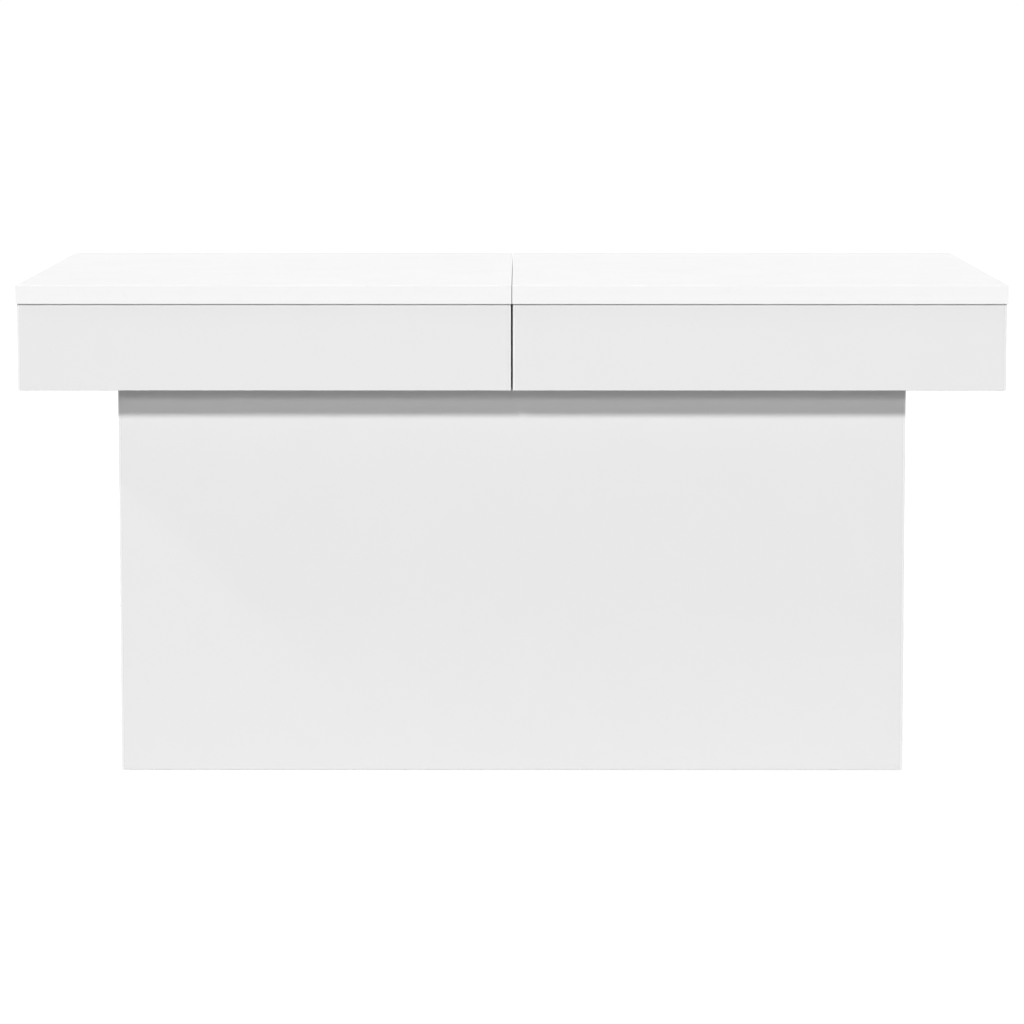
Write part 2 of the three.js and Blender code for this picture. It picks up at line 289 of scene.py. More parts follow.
CARCASS = [
    melamine("carcass_melamine", 0.80, 0.42),
    # The band is a little lighter than the board: a real edge band whose lighter tone is also a painted
    # highlight along the boards' edges.
    edge_band("carcass_edge_band", 0.845, 0.36),
    moulded("glue_line", (0.55, 0.545, 0.53), 0.6),
]
LID = [
    melamine("lid_melamine", 0.85, 0.40),
    edge_band("lid_edge_band", 0.892, 0.36),
    moulded("lid_glue_line", (0.66, 0.655, 0.64), 0.6),
]
BLACK = powder_coat("black_powder_coat")
ZINC = plated("bright_zinc", (0.72, 0.73, 0.75), 0.2, 0.38)
BAR_BLACK = powder_coat("black_bar")
SPRING_STEEL = plated("spring_steel", (0.36, 0.365, 0.38), 0.28, 0.45)
GREY_PLASTIC = moulded("grey_plastic", (0.55, 0.55, 0.54), 0.55)
WHITE_PLASTIC = moulded("white_plastic", (0.82, 0.82, 0.81), 0.4)
RUBBER = moulded("black_rubber", (0.02, 0.02, 0.02), 0.82, 1500)
# Near-black painted shade: a thin dark sheet laid in the cross recesses of screw heads and cams, standing in
# for the shade inside them; the cams' pointer arrows are drawn in it too.
PAINTED_RECESS_SHADE = moulded("recess_shadow", (0.06, 0.06, 0.062), 0.7)


# ---- meshes ---------------------------------------------------------------------------------------


def piece(name, vertices, faces, materials, slots, body, slot, stands_for=()):
    """A mesh given in millimetres in the table's frame, smooth but for its sharp edges. It rides on a body
    when one is given."""
    mesh = bpy.data.meshes.new(name)
    mesh.from_pydata([Vector(v) * MM for v in vertices], [], faces)
    for material in materials:
        mesh.materials.append(material)
    if slots:
        mesh.polygons.foreach_set("material_index", slots)
    mesh.validate()
    mesh.polygons.foreach_set("use_smooth", [True] * len(mesh.polygons))
    mesh.set_sharp_from_angle(angle=math.radians(SHARP_ANGLE))
    made = bpy.data.objects.new(name, mesh)
    bpy.context.collection.objects.link(made)
    if body:
        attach(made, body)
    if stands_for:
        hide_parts(*stands_for)
    return made


def rounded_loop(half_a, half_b, radius, steps=3):
    """A rectangle with rounded corners, as points round it. A point on each side of a corner keeps the
    straight stretches flat where the surface is shaded smooth."""
    loop = []
    for corner, (sa, sb) in enumerate(((1, 1), (-1, 1), (-1, -1), (1, -1))):
        centre = Vector((sa * (half_a - radius), sb * (half_b - radius)))
        for k in range(-1, steps + 2):
            turn = math.radians(90) * (corner + min(max(k, 0), steps) / steps)
            outward = Vector((math.cos(turn), math.sin(turn)))
            past = FLAT_MARGIN * ((k > steps) - (k < 0))
            loop.append(centre + outward * radius + outward.orthogonal() * past)
    return loop


def edge_profile(band, reach, depth, upright=None):
    """Rings (inset from the left and right edges, inset from the top and bottom edges, depth below the
    face) of a face's rounded rim, from its flat to the end face. upright is the reach of the rim at the
    top and bottom, where it isn't the same."""
    insets = {reach * share for share in (0.0, 0.1, 0.25, 0.5, 1.0)}
    insets |= {band, band + GLUE_LINE, max(reach, band + GLUE_LINE) + FLAT_MARGIN}
    upright = upright or reach
    rim = []
    for inset in sorted(insets, reverse=True):
        share = max(0.0, 1 - inset / reach)
        rise = min(inset, reach) * upright / reach + max(inset - reach, 0)
        rim.append((inset, rise, depth * (1 - math.sqrt(1 - share * share))))
    return [*rim, (0.0, 0.0, depth + FLAT_MARGIN)]


def board(node, materials, slot, arris, ease=None):
    """A panel with its edge bands, which show round each face before a glue line. ease is the reach and
    depth of the softer left and right edges of its outward face."""
    low, high = box(node)
    size, centre = high - low, (low + high) / 2
    thin = min(range(3), key=lambda axis: size[axis])
    a, b = (thin + 1) % 3, (thin + 2) % 3
    half = size[thin] / 2
    band = THICK_BAND if ease else EDGE_BAND
    near = far = edge_profile(band, arris, arris)
    if ease and centre[thin] > 0:
        near = edge_profile(band, *ease, arris)
    elif ease:
        far = edge_profile(band, *ease, arris)
    rings = near + [(inset, rise, 2 * half - depth) for inset, rise, depth in reversed(far)]
    vertices, faces, slots = [], [], []
    for inset, rise, depth in rings:
        corner = max(arris - inset, 0.01)
        for pa, pb in rounded_loop(size[a] / 2 - rise, size[b] / 2 - inset, corner):
            point = Vector((0, 0, 0))
            point[a], point[b], point[thin] = pa, pb, half - depth
            vertices.append(point + centre)
    count = len(vertices) // len(rings)
    for ring in range(len(rings) - 1):
        middle = (rings[ring][0] + rings[ring + 1][0]) / 2
        for k in range(count):
            n = (k + 1) % count
            near_edge, far_edge = ring * count, (ring + 1) * count
            faces.append((near_edge + k, far_edge + k, far_edge + n, near_edge + n))
            slots.append(1 if middle < band else 2 if middle < band + GLUE_LINE else 0)
    faces.append(tuple(range(count)))
    faces.append(tuple(reversed(range((len(rings) - 1) * count, len(rings) * count))))
    slots += [0, 0]
    return piece(f"{node}_board", vertices, faces, materials, slots, BODY_OF[node], slot, (node,))


def arc_points(centre, radius, start, end, steps=12):
    return [
        (
            centre[0] + radius * math.cos(math.radians(start + (end - start) * k / steps)),
            centre[1] + radius * math.sin(math.radians(start + (end - start) * k / steps)),
        )
        for k in range(steps + 1)
    ]


def circle(centre, radius, steps=32):
    return arc_points(centre, radius, 0, 360, steps)[:-1]


def cross(centre, reach, width, turn):
    """The outline of a cross recess, turned by an angle in radians."""
    w, r = width / 2, reach
    c, s = math.cos(turn), math.sin(turn)
    quarter = [(w, w), (w, r), (-w, r)]
    corners = []
    for _ in range(4):
        corners += quarter
        quarter = [(-y, x) for x, y in quarter]
    return [(centre[0] + x * c - y * s, centre[1] + x * s + y * c) for x, y in corners]


def plate(outlines, span, rounding=0.3, resolution=2):
    """(vertices, faces) of a plate cut to outlines in its own plane, the first the outside, and thick along
    span. Its edges are rounded, and it keeps the outlines' size. Points come back as (along, u, v)."""
    curve = bpy.data.curves.new("plate", "CURVE")
    curve.dimensions = "2D"
    curve.fill_mode = "BOTH"
    thickness = span[1] - span[0]
    curve.extrude = thickness / 2 - rounding
    curve.bevel_depth = rounding
    curve.bevel_resolution = resolution
    curve.offset = -rounding
    for outline in outlines:
        spline = curve.splines.new("POLY")
        spline.points.add(len(outline) - 1)
        for point, (u, v) in zip(spline.points, outline):
            point.co = (u, v, 0, 1)
        spline.use_cyclic_u = True
    temporary = bpy.data.objects.new("plate", curve)
    bpy.context.collection.objects.link(temporary)
    evaluated = temporary.evaluated_get(bpy.context.evaluated_depsgraph_get())
    mesh = bpy.data.meshes.new_from_object(evaluated)
    middle = (span[0] + span[1]) / 2
    vertices = [(middle + v.co.z, v.co.x, v.co.y) for v in mesh.vertices]
    faces = [tuple(p.vertices) for p in mesh.polygons]
    bpy.data.objects.remove(temporary)
    bpy.data.curves.remove(curve)
    bpy.data.meshes.remove(mesh)
    return vertices, faces


def sweep(points, section):
    """(vertices, faces) of a closed section swept along points with no twist; its ends are capped."""
    points = [Vector(p) for p in points]
    vertices, faces = [], []
    count = len(section)
    side = None
    for i, point in enumerate(points):
        ahead = points[min(i + 1, len(points) - 1)] - points[max(i - 1, 0)]
        ahead.normalize()
        if side is None:
            side = ahead.orthogonal().normalized()
        side = (side - ahead * side.dot(ahead)).normalized()
        up = ahead.cross(side)
        vertices += [point + side * u + up * v for u, v in section]
    for i in range(len(points) - 1):
        for k in range(count):
            n = (k + 1) % count
            faces.append((i * count + k, i * count + n, (i + 1) * count + n, (i + 1) * count + k))
    faces.append(tuple(reversed(range(count))))
    faces.append(tuple(range((len(points) - 1) * count, len(points) * count)))
    return vertices, faces


def turned(profile, centre=(0, 0), segments=48):
    """(vertices, faces) of a turned piece along the first axis. The profile is [(along, radius)], and an
    end that isn't on the axis is closed flat."""
    vertices, faces, rings = [], [], []
    for along, radius in profile:
        turns = [2 * math.pi * k / segments for k in range(segments)] if radius else [0]
        rings.append(range(len(vertices), len(vertices) + len(turns)))
        for turn in turns:
            y, z = centre[0] + radius * math.cos(turn), centre[1] + radius * math.sin(turn)
            vertices.append((along, y, z))
    for ring, after in zip(rings, rings[1:]):
        for k in range(segments):
            n = (k + 1) % segments
            corners = (ring[k % len(ring)], ring[n % len(ring)], after[n % len(after)], after[k % len(after)])
            faces.append(tuple(dict.fromkeys(corners)))
    if len(rings[0]) > 1:
        faces.append(tuple(reversed(rings[0])))
    if len(rings[-1]) > 1:
        faces.append(tuple(rings[-1]))
    return vertices, faces


def softened(steps, radius=0.35):
    """A stepped profile [(along, radius)] with its corners eased."""
    eased = [steps[0]]
    for before, corner, after in zip(steps, steps[1:], steps[2:]):
        for other in (before, after):
            length = math.dist(corner, other)
            share = min(radius, length * 0.45) / length if length else 0
            eased.append(tuple(c + (o - c) * share for c, o in zip(corner, other)))
        first, last = eased[-2], eased[-1]
        middle = tuple((f + e) / 4 + c / 2 for f, e, c in zip(first, last, corner))
        eased.insert(-1, middle)
    eased.append(steps[-1])
    return eased


def merged(*parts):
    """Several (vertices, faces) as one, with the material slot of each face."""
    vertices, faces, slots = [], [], []
    for part_slot, (points, polygons) in parts:
        offset = len(vertices)
        vertices += [tuple(p) for p in points]
        faces += [tuple(i + offset for i in polygon) for polygon in polygons]
        slots += [part_slot] * len(polygons)
    return vertices, faces, slots


def on_wall(wall, sign, parts):
    """(vertices, faces, slots) of parts made along the first axis, set on a face across X that looks
    towards sign."""
    vertices, faces, slots = merged(*parts)
    if sign < 0:
        faces = [tuple(reversed(face)) for face in faces]
    return [(wall + sign * x, y, z) for x, y, z in vertices], faces, slots


# ---- a lift unit, in its own axes: inwards from its wall, then +Y and +Z ---------------------------


class Unit:
    """One of the four lift units: where its wall is, and which way is inwards."""

    def __init__(self, side, end):
        self.side = side
        self.name = f"{side}_{end}"
        low, high = box(f"{self.name}_base_bracket")
        bar_low, bar_high = box(f"{side}_sync_bar")
        rightwards = low.x + high.x > bar_low.x + bar_high.x
        self.sign = -1 if rightwards else 1
        self.wall = high.x + WEB_SPAN[0] if rightwards else low.x - WEB_SPAN[0]

    def add(self, name, parts, materials, body, slot, stands_for=()):
        vertices, faces, slots = on_wall(self.wall, self.sign, parts)
        nodes = [f"{self.name}_{node}" for node in stands_for]
        return piece(f"{self.name}_{name}", vertices, faces, materials, slots, body, slot, nodes)


def stadium(start, end, half):
    """The outline of a level bar with round ends."""
    return arc_points(end, half, -90, 90, 16) + arc_points(start, half, 90, 270, 16)


def prism(profile, span):
    """(vertices, faces) of a profile [(along, v)], clockwise, drawn along the second axis over span."""
    count = len(profile)
    vertices = [(x, y, z) for y in span for x, z in profile]
    faces = [tuple(reversed(range(count))), tuple(range(count, 2 * count))]
    for k in range(count):
        n = (k + 1) % count
        faces.append((n, n + count, k + count, k))
    return vertices, faces


def stood(part, centre, height, down=False):
    """A part made along the first axis, stood on end at centre, pointing up or down from height."""
    vertices, faces = part
    way = -1 if down else 1
    return [(centre[0] + u, centre[1] + way * v, height + way * along) for along, u, v in vertices], faces


def moved_to(part, along):
    vertices, faces = part
    return [(x + along, y, z) for x, y, z in vertices], faces


def screw_head(radius, rise, centre, turn):
    """A domed head on its seat at 0, with a cross recess: [(slot, part)], the recess a near-black sheet of
    painted shade in slot 1.
    """
    dome = [(-0.4, 0.0), (-0.4, radius * 0.99)]
    for k in range(9):
        t = math.pi / 2 * k / 8
        dome.append((rise * math.sin(t) ** 0.9 if k else 0.0, radius * (0.45 + 0.55 * math.cos(t))))
    dome.append((rise, 0.0))
    head = turned(dome, centre, 40)
    recess = plate([cross(centre, radius * 0.52, radius * 0.2, turn)], (rise - 0.3, rise + 0.03), 0.02, 0)
    return [(0, head), (1, recess)]


def catmull(points, steps):
    """A smooth curve through points."""
    points = [Vector(p) for p in points]
    ends = [2 * points[0] - points[1], *points, 2 * points[-1] - points[-2]]
    curve = []
    for p0, p1, p2, p3 in zip(ends, ends[1:], ends[2:], ends[3:]):
        for k in range(steps):
            t = k / steps
            curve.append(
                0.5
                * (
                    2 * p1
                    + (p2 - p0) * t
                    + (2 * p0 - 5 * p1 + 4 * p2 - p3) * t * t
                    + (3 * p1 - 3 * p2 + p3 - p0) * t ** 3
                )
            )
    curve.append(points[-1])
    return curve


def lying(part):
    """A plate made upright, laid flat: its thickness along Z."""
    vertices, faces = part
    return [(u, v, along) for along, u, v in vertices], faces


def fold(inner, height, way):
    """The profile of the rounded inside of a fold between a web, whose face is at inner, and a flange,
    whose face is at height. way is 1 where the flange is below the web and -1 where it is above."""
    sunk = 0.2
    centre = (inner + BEND_RADIUS, height + way * BEND_RADIUS)
    if way > 0:
        corner = [(inner - sunk, height - sunk), (inner - sunk, centre[1])]
        return [*corner, *arc_points(centre, BEND_RADIUS, 180, 270, 6), (centre[0], height - sunk)]
    corner = [(inner - sunk, height + sunk), (centre[0], height + sunk)]
    return [*corner, *arc_points(centre, BEND_RADIUS, 90, 180, 6), (inner - sunk, centre[1])]


def rectangle(low, high):
    return [low, (high[0], low[1]), high, (low[0], high[1])]


def base_bracket(unit):
    """A folded bracket on the tray's wall, with the stud that stops the raised rear arm."""
    front, back, top = BASE_LOW.y, BASE_HIGH.y, BASE_HIGH.z
    web = [(front, BASE_LOW.z), (back, BASE_LOW.z)]
    web += arc_points((back - BASE_CORNER, BASE_SHOULDER - BASE_CORNER), BASE_CORNER, 0, 90)
    web += [(REAR_PIVOT[0] + BASE_SLOPE[0], BASE_SHOULDER), (FRONT_PIVOT[0] + BASE_SLOPE[1], top)]
    web += arc_points((front + BASE_CORNER, top - BASE_CORNER), BASE_CORNER, 90, 180)
    holes = [circle(screw, BASE_SCREW_HOLE) for screw in BASE_SCREWS]
    holes += [circle(pivot_at, PIN_RADIUS + RUNNING_GAP) for pivot_at in (REAR_PIVOT, FRONT_PIVOT)]
    flange = plate([rectangle((WEB_SPAN[0], front), (BASE_WIDTH, back))], (BASE_LOW.z, FLANGE_TOP))
    bend = fold(WEB_SPAN[1], FLANGE_TOP, 1)
    up = math.radians(SWING)
    off = ARM_WIDTH / 2 + STOP_RADIUS + RUNNING_GAP
    stop = (
        REAR_PIVOT[0] + STOP_REACH * math.cos(up) - off * math.sin(up),
        REAR_PIVOT[1] + STOP_REACH * math.sin(up) + off * math.cos(up),
    )
    stud = turned(softened([(1.3, 0), (1.3, STOP_RADIUS), (8.0, STOP_RADIUS), (8.0, 0)]), stop, 32)
    washer = turned(softened([(2.3, 0), (2.3, 4.6), (2.9, 4.6), (2.9, 0)], 0.2), stop, 32)
    parts = [
        (0, plate([web, *holes], WEB_SPAN)),
        (0, lying(flange)),
        (0, prism(bend, (front + 0.3, back - 0.3))),
        (1, stud),
        (1, washer),
    ]
    unit.add("bracket_on_wall", parts, [BLACK, ZINC], "table", "black_steel", ["base_bracket"])
    for k, screw in enumerate(BASE_SCREWS):
        head = screw_head(*BASE_SCREW_HEAD, screw, 0.4 + k)
        head = [(slot, moved_to(part, WEB_SPAN[1] - 0.9)) for slot, part in head]
        unit.add(f"wall_screw_{k + 1}", head, [ZINC, PAINTED_RECESS_SHADE], "table", "zinc_steel")


def arm(unit, which, lower, rib):
    """A flat arm with a pressed stiffening rib; rib is its start and end from the lower pivot."""
    upper = (lower[0] + ARM_LENGTH, lower[1])
    holes = [circle(pivot_at, PIN_RADIUS + RUNNING_GAP) for pivot_at in (lower, upper)]
    body = plate([stadium(lower, upper, ARM_WIDTH / 2), *holes], ARM_SPAN, 0.35)
    start, end = ((lower[0] + reach, lower[1]) for reach in rib)
    pressed = plate([stadium(start, end, RIB_RADIUS)], (ARM_SPAN[1] - 0.7, ARM_SPAN[1] + 0.6), 0.6, 3)
    parts = [(0, body), (0, pressed)]
    if which == "rear":
        bead = [(6.6, 0), (6.6, BAR_RADIUS + WELD)]
        for k in range(6):
            turn = math.pi / 2 * k / 5
            bead.append((ARM_SPAN[1] + WELD * math.sin(turn), BAR_RADIUS + WELD * math.cos(turn)))
        bead.append((ARM_SPAN[1] + WELD, 0))
        parts.append((1, turned(bead, (lower[0] + BAR_REACH, lower[1]))))
    moving = f"{unit.side}_{which}_arms"
    unit.add(f"{which}_arm_bar", parts, [BLACK, BAR_BLACK], moving, "black_steel", [f"{which}_arm"])


def base_pins(unit):
    """The short rivet at the front pivot, and the long bolt with its spacer that carries the spring."""
    pin, head = PIN_RADIUS, HEAD_RADIUS
    collar = [(WEB_SPAN[0], 0), (WEB_SPAN[0], pin), (2.6, pin), (2.6, head), (3.6, head), (3.6, pin)]
    rivet = [*collar, (7.3, pin), (7.3, head), (8.2, 5.9), (8.8, 4.2), (8.9, 0)]
    bolt = [*collar, (25.4, pin), (25.4, 3.3), (25.9, 3.3), (25.9, pin), (26.4, pin)]
    bolt += [(26.4, head), (27.3, 5.9), (27.9, 4.2), (28.0, 0)]
    spacer = [(8.0, pin), (8.0, 5.6), (25.2, 5.6), (25.2, pin)]
    rivet = [(0, turned(softened(rivet, 0.3), FRONT_PIVOT))]
    unit.add("front_pivot_rivet", rivet, [ZINC], "table", "zinc_steel", ["front_pin"])
    parts = [(0, turned(softened(bolt, 0.3), REAR_PIVOT)), (1, turned(softened(spacer, 0.4), REAR_PIVOT))]
    unit.add("rear_pivot_bolt", parts, [ZINC, RUBBER], "table", "zinc_steel", ["rear_pin"])


def lift_spring(unit):
    """The coil on the long pin, its near leg under the rear arm and its far leg on the bracket. In the real
    table the near leg turns with the arms; here the coil rides on no body.
    """
    near, far = SPRING_SPAN
    clearance = SPRING_WIRE / 2 + RUNNING_GAP
    hook = (SPRING_LEG, -ARM_WIDTH / 2 - clearance)
    foot = (SPRING_LEG, FLANGE_TOP + clearance - REAR_PIVOT[1])

    def leg_angle(point, side):
        return math.atan2(point[1], point[0]) + side * math.acos(SPRING_RADIUS / math.hypot(*point))

    def on_coil(share):
        turn = start + (end - start) * share
        return near + (far - near) * share, SPRING_RADIUS * math.cos(turn), SPRING_RADIUS * math.sin(turn)

    start = leg_angle(hook, 1)
    end = leg_angle(foot, -1) + 2 * math.pi * SPRING_TURNS
    hooked = [(ARM_SPAN[0], *hook), (ARM_SPAN[1] - 0.4, *hook)]
    hooked.append((near - 0.5, hook[0] - 0.9, hook[1] + 0.3))
    leg_start = Vector((near, hook[0] - 3.5, hook[1] + 1.6))
    leg = [leg_start.lerp(Vector(on_coil(0)), k / 6) for k in range(6)]
    coil = [on_coil(k / 120) for k in range(121)]
    tail = [Vector(coil[-1]).lerp(Vector((far, *foot)), k / 6) for k in range(1, 7)]
    points = catmull(hooked, 4) + leg + coil + tail
    path = [(x, REAR_PIVOT[0] + v, REAR_PIVOT[1] + w) for x, v, w in points]
    parts = [(0, sweep(path, circle((0, 0), SPRING_WIRE / 2, 12)))]
    made = unit.add("torsion_spring", parts, [SPRING_STEEL], None, "spring_steel", ["lift_spring"])
    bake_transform(made)


def lid_bracket(unit):
    """An angle under the lid, whose web hangs down to the two upper pivots and carries their studs."""
    front, back, top = LID_LOW.y, LID_HIGH.y, LID_HIGH.z
    rear_pivot = (REAR_PIVOT[0] + ARM_LENGTH, REAR_PIVOT[1])
    front_pivot = (FRONT_PIVOT[0] + ARM_LENGTH, FRONT_PIVOT[1])
    leg = top - LID_BRACKET_LEG
    web = [(back, top), (front, top), (front, leg + 3), (front + 3, leg)]
    web.append((front_pivot[0] - LID_EAR_REACH, leg))
    web += arc_points(front_pivot, LID_BRACKET_EAR, 180, 234)
    web += arc_points(rear_pivot, LID_BRACKET_EAR, 234, 360)
    web += [(rear_pivot[0] + LID_EAR_REACH, leg), (back - 3, leg), (back, leg + 3)]
    inner = LID_WEB_SPAN[1]
    flange_low = top - SHEET
    screw_u = (inner + LID_BRACKET_WIDTH) / 2
    outline = rectangle((LID_WEB_SPAN[0], front), (LID_BRACKET_WIDTH, back))
    holes = [circle((screw_u, y), LID_SCREW_HOLE, 24) for y in LID_SCREWS]
    flange = plate([outline, *holes], (flange_low, top))
    bend = fold(inner, flange_low, -1)
    pin, head = PIN_RADIUS, HEAD_RADIUS
    stud = [(2.6, 0), (2.6, head), (3.6, head), (3.6, pin), (7.5, pin), (8.0, 6.0), (8.5, 6.0), (9.0, pin)]
    stud += [(10.4, pin), (10.4, 5.8), (11.2, 5.3), (11.7, 3.6), (11.8, 0)]
    parts = [(0, plate([web], LID_WEB_SPAN)), (0, lying(flange)), (0, prism(bend, (front + 0.3, back - 0.3)))]
    parts += [(1, turned(softened(stud, 0.3), pivot_at)) for pivot_at in (rear_pivot, front_pivot)]
    moving = f"{unit.side}_lid"
    unit.add("bracket_on_lid", parts, [BLACK, ZINC], moving, "black_steel", ["lid_bracket"])
    for k, y in enumerate(LID_SCREWS):
        head = screw_head(*LID_SCREW_HEAD, (0, 0), 0.5 + k)
        head = [(slot, stood(part, (screw_u, y), flange_low, down=True)) for slot, part in head]
        unit.add(f"lid_screw_{k + 1}", head, [ZINC, PAINTED_RECESS_SHADE], moving, "zinc_steel")


def rest_buffer(unit):
    """The rubber pad on the base bracket's flange that the folded rear arm rests on."""
    span = (FLANGE_TOP, REAR_PIVOT[1] - ARM_WIDTH / 2 - RUNNING_GAP)
    pad = plate([rectangle(*REST_PAD)], span, 0.7, 3)
    unit.add("rest_pad", [(0, lying(pad))], [RUBBER], "table", "black_rubber", ["rest_buffer"])


# ---- pieces that are not part of a lift unit --------------------------------------------------------


def cam_fitting(name, wall, sign, at, turn):
    """A zinc cam in the face of a board, with its raised rim, its cross recess and its pointer, the recess
    and the pointer near-black sheets of painted shade.
    """
    rim = 0.25
    disc = [(-0.8, 0), (-0.8, CAM_RADIUS), (rim, CAM_RADIUS), (rim, 6.3), (0.05, 6.1), (0.05, 0)]
    arrow = [(at[0] - 0.9, at[1] + 4.4), (at[0] + 0.9, at[1] + 4.4), (at[0], at[1] + 5.9)]
    outlines = (cross(at, 3.4, 1.3, turn), arrow)
    recess, pointer = (plate([outline], (-0.2, 0.08), 0.02, 0) for outline in outlines)
    parts = [(0, turned(softened(disc, 0.25), at, 40)), (1, recess), (1, pointer)]
    vertices, faces, slots = on_wall(wall, sign, parts)
    piece(name, vertices, faces, [ZINC, PAINTED_RECESS_SHADE], slots, "table", "zinc_steel")


def sync_bar(side):
    node = f"{side}_sync_bar"
    low, high = box(node)
    centre = ((low.y + high.y) / 2, (low.z + high.z) / 2)
    profile = [(low.x, 0), (low.x, BAR_RADIUS), (high.x, BAR_RADIUS), (high.x, 0)]
    vertices, faces = turned(profile, centre, 56)
    piece(f"{node}_tube", vertices, faces, [BAR_BLACK], None, BODY_OF[node], "black_steel", [node])


def glide(node):
    """A round pad with two sides cut straight to the width of the board that it is under."""
    low, high = box(node)
    centre = ((low.x + high.x) / 2, (low.y + high.y) / 2)
    half_x, half_y = (high.x - low.x) / 2, (high.y - low.y) / 2
    edge = math.degrees(math.asin(half_x / half_y))
    outline = arc_points(centre, half_y, 90 - edge, 90 + edge, 12)
    outline += arc_points(centre, half_y, 270 - edge, 270 + edge, 12)
    pad = lying(plate([outline], (low.z, high.z), 0.25, 3))
    piece(f"{node}_pad", *pad, [GREY_PLASTIC], None, "table", "grey_plastic", [node])


def cap(name, at, height):
    """A domed white cap over a screw."""
    dome = [(0, 0), (0, 6.0), (0.5, 6.0), (1.0, 5.7), (1.4, 4.9), (1.65, 3.4), (1.75, 1.6), (1.78, 0)]
    vertices, faces = stood(turned(dome, (0, 0), 36), at, height)
    piece(name, vertices, faces, [WHITE_PLASTIC], None, "table", "grey_plastic")


def lift_unit(side, end):
    unit = Unit(side, end)
    base_bracket(unit)
    arm(unit, "rear", REAR_PIVOT, REAR_RIB)
    arm(unit, "front", FRONT_PIVOT, FRONT_RIB)
    base_pins(unit)
    lift_spring(unit)
    lid_bracket(unit)
    rest_buffer(unit)
    for k, at in enumerate(TRAY_CAMS):
        cam_fitting(f"{unit.name}_cam_{k + 1}", unit.wall, unit.sign, at, 0.5 + k + unit.sign)


def screw_caps(side, side_middle):
    """Caps over the screws that hold a tray down: on its ledge, and on its rails over the panels."""
    ledge_top = box(f"{side}_tray_floor_ledge")[1].z
    for k, y in enumerate(LEDGE_CAPS):
        cap(f"{side}_ledge_cap_{k + 1}", (side_middle, y), ledge_top)
    for rail in ("front", "back"):
        rail_low, rail_high = box(f"{side}_tray_{rail}_rail")
        panel_low, panel_high = box(f"pedestal_{rail}_panel")
        for k, share in enumerate(RAIL_CAPS):
            at = (rail_low.x + (rail_high.x - rail_low.x) * share, (panel_low.y + panel_high.y) / 2)
            cap(f"{side}_{rail}_rail_cap_{k + 1}", at, rail_high.z)


def pedestal_cams(side, sign, side_face):
    """Cams inside a bin: in the pedestal's side, and in the partition opposite."""
    low, high = box("pedestal_partition")
    partition_face = high.x if sign > 0 else low.x
    for k, at in enumerate(PEDESTAL_CAMS):
        cam_fitting(f"{side}_side_cam_{k + 1}", side_face, -sign, at, 0.2 + k)
        cam_fitting(f"{side}_partition_cam_{k + 1}", partition_face, sign, at, 0.9 + k)


# ---- the table ----------------------------------------------------------------------------------------

for node in frame["nodes"]:
    if node.endswith("_lid_panel"):
        board(node, LID, "lid_board", LID_ARRIS)
    elif node.startswith("pedestal_") or "_tray_" in node:
        eased = node.endswith(("front_panel", "back_panel", "front_apron", "back_apron"))
        board(node, CARCASS, "white_board", ARRIS, EASED_EDGE if eased else None)
    elif node.startswith("glide_"):
        glide(node)

for side in SIDES:
    sync_bar(side)
    for end in ENDS:
        lift_unit(side, end)
    side_low, side_high = box(f"pedestal_{side}_side")
    sign = 1 if side_high.x > 0 else -1
    screw_caps(side, (side_low.x + side_high.x) / 2)
    pedestal_cams(side, sign, side_low.x if sign > 0 else side_high.x)


# ---- camera, light and floor, in metres -----------------------------------------------------------------

CAMERA_PLACE = (0.0070, -3.8395, 0.6178)
CAMERA_DOWN = 6.378  # degrees
CAMERA_LEFT = 0.11
LENS = 156.9  # on a sensor 36 mm wide
LAMPS = {  # name: azimuth from the camera's side towards the right, elevation, strength, angular size
    "key_light": (-20, 41.7, 0.856, 7.8),
    "low_fill_light": (56, 11.3, 0.279, 6.5),
    "side_light": (-84.4, 43.8, 0.34, 3.0),
    "back_light": (140, 12, 0.42, 20),
}
DOME = 0.5
BACKDROP = 0.8  # what the dome gains low down behind the table
WHITE = 1.05  # the world as the camera sees it
FLOOR_HALF = 20
FLOOR_GREY = 0.26  # what the floor gives back to the table
FLOOR_SHADOW_GREY = 0.22  # how much of the light on the floor the camera sees, over the glow
FLOOR_GLOW = 0.93


def camera():
    made = bpy.data.objects.new("camera", bpy.data.cameras.new("camera"))
    bpy.context.collection.objects.link(made)
    made.location = CAMERA_PLACE
    made.rotation_euler = (math.radians(90 - CAMERA_DOWN), 0, math.radians(CAMERA_LEFT))
    made.data.lens = LENS
    made.data.sensor_width = 36
    made.data.clip_start = 0.05
    made.data.clip_end = 60
    bpy.context.scene.camera = made


def lamp(name, azimuth, elevation, strength, size):
    """A distant soft light."""
    light = bpy.data.lights.new(name, "SUN")
    light.energy = strength * math.pi
    light.angle = math.radians(size)
    made = bpy.data.objects.new(name, light)
    a, e = math.radians(azimuth), math.radians(elevation)
    towards = Vector((math.sin(a) * math.cos(e), -math.cos(a) * math.cos(e), math.sin(e)))
    made.rotation_euler = towards.to_track_quat("Z", "Y").to_euler()
    bpy.context.collection.objects.link(made)


def by_camera_ray(tree, seen, unseen, target):
    """Gives the camera one shader and every other ray another."""
    path = tree.nodes.new("ShaderNodeLightPath")
    mix = tree.nodes.new("ShaderNodeMixShader")
    tree.links.new(path.outputs["Is Camera Ray"], mix.inputs["Fac"])
    tree.links.new(unseen, mix.inputs[1])
    tree.links.new(seen, mix.inputs[2])
    tree.links.new(mix.outputs["Shader"], target)


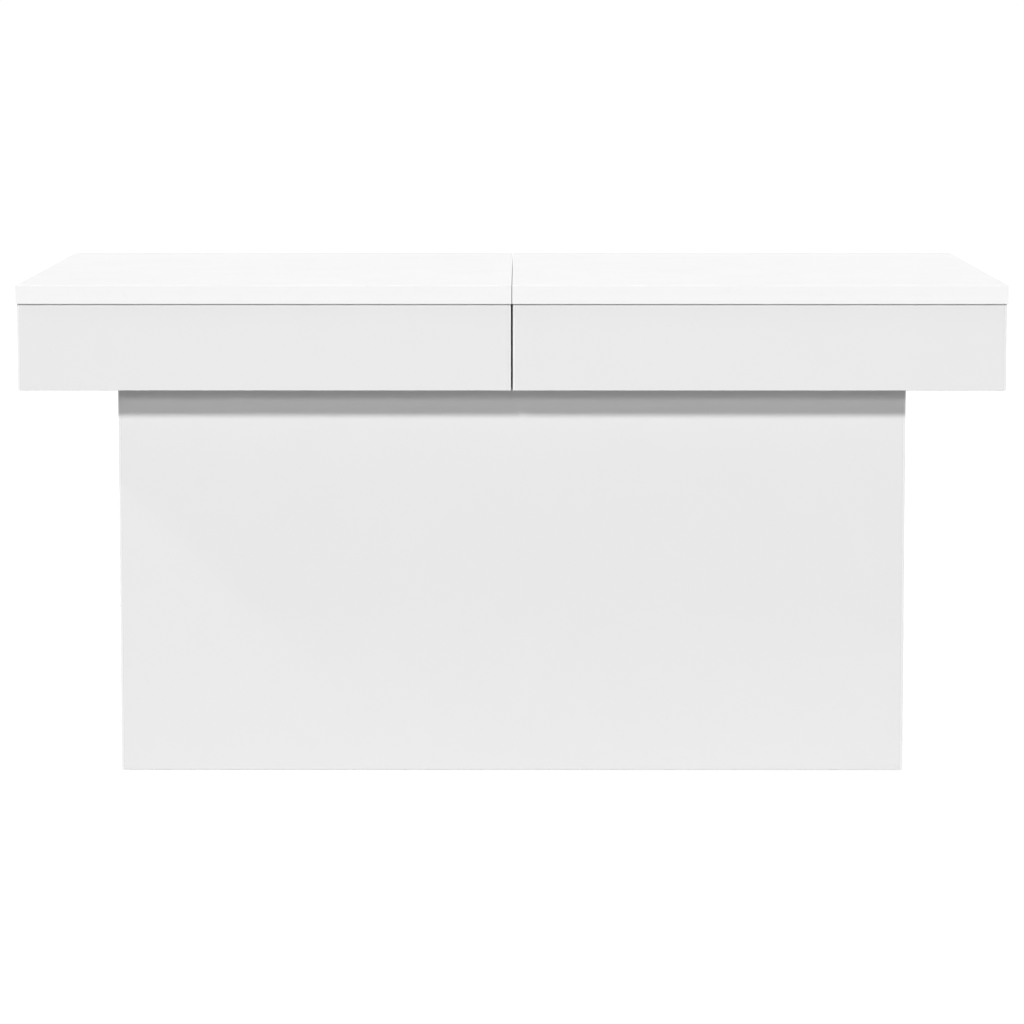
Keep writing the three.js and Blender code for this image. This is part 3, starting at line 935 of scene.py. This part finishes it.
def world():
    """White to the camera. To the table it is a dome that fades upwards, and that is brighter low down
    behind the table, where the lids' gloss reflects it."""
    made = bpy.data.worlds.new("studio")
    bpy.context.scene.world = made
    made.use_nodes = True
    tree = made.node_tree
    nodes, links = tree.nodes, tree.links
    nodes.clear()
    coordinates = nodes.new("ShaderNodeTexCoord")
    parted = nodes.new("ShaderNodeSeparateXYZ")
    links.new(coordinates.outputs["Generated"], parted.inputs["Vector"])

    def ramp(axis, start, end, low, high):
        node = nodes.new("ShaderNodeMapRange")
        node.interpolation_type = "SMOOTHSTEP"
        for socket, number in (("From Min", start), ("From Max", end), ("To Min", low), ("To Max", high)):
            node.inputs[socket].default_value = number
        links.new(parted.outputs[axis], node.inputs["Value"])
        return node.outputs["Result"]

    product = nodes.new("ShaderNodeMath")
    product.operation = "MULTIPLY"
    links.new(ramp("Y", 0.1, 0.7, DOME, DOME + BACKDROP), product.inputs[0])
    links.new(ramp("Z", 0.0, 0.75, 1.0, 0.1), product.inputs[1])
    dome, white = (nodes.new("ShaderNodeBackground") for _ in range(2))
    for background in (dome, white):
        background.inputs["Color"].default_value = (1, 1, 1, 1)
    links.new(product.outputs["Value"], dome.inputs["Strength"])
    white.inputs["Strength"].default_value = WHITE
    output = nodes.new("ShaderNodeOutputWorld")
    by_camera_ray(tree, white.outputs["Background"], dome.outputs["Background"], output.inputs["Surface"])


def floor():
    """Grey to the table and near white to the camera, so that it has no horizon."""
    mesh = bpy.data.meshes.new("floor")
    reach = FLOOR_HALF
    corners = [(-reach, -reach, 0), (reach, -reach, 0), (reach, reach, 0), (-reach, reach, 0)]
    mesh.from_pydata(corners, [], [(0, 1, 2, 3)])
    made = bpy.data.objects.new("floor", mesh)
    bpy.context.collection.objects.link(made)
    material = bpy.data.materials.new("pale_floor")
    material.use_nodes = True
    tree = material.node_tree
    nodes, links = tree.nodes, tree.links
    nodes.clear()
    bounced, lit = nodes.new("ShaderNodeBsdfDiffuse"), nodes.new("ShaderNodeBsdfDiffuse")
    bounced.inputs["Color"].default_value = (*[FLOOR_GREY] * 3, 1)
    lit.inputs["Color"].default_value = (*[FLOOR_SHADOW_GREY] * 3, 1)
    glow = nodes.new("ShaderNodeEmission")
    glow.inputs["Strength"].default_value = FLOOR_GLOW
    both = nodes.new("ShaderNodeAddShader")
    links.new(lit.outputs["BSDF"], both.inputs[0])
    links.new(glow.outputs["Emission"], both.inputs[1])
    output = nodes.new("ShaderNodeOutputMaterial")
    by_camera_ray(tree, both.outputs["Shader"], bounced.outputs["BSDF"], output.inputs["Surface"])
    mesh.materials.append(material)


camera()
for name, settings in LAMPS.items():
    lamp(name, *settings)
world()
floor()
bpy.context.scene.view_settings.view_transform = "Standard"
bpy.context.scene.view_settings.look = "None"
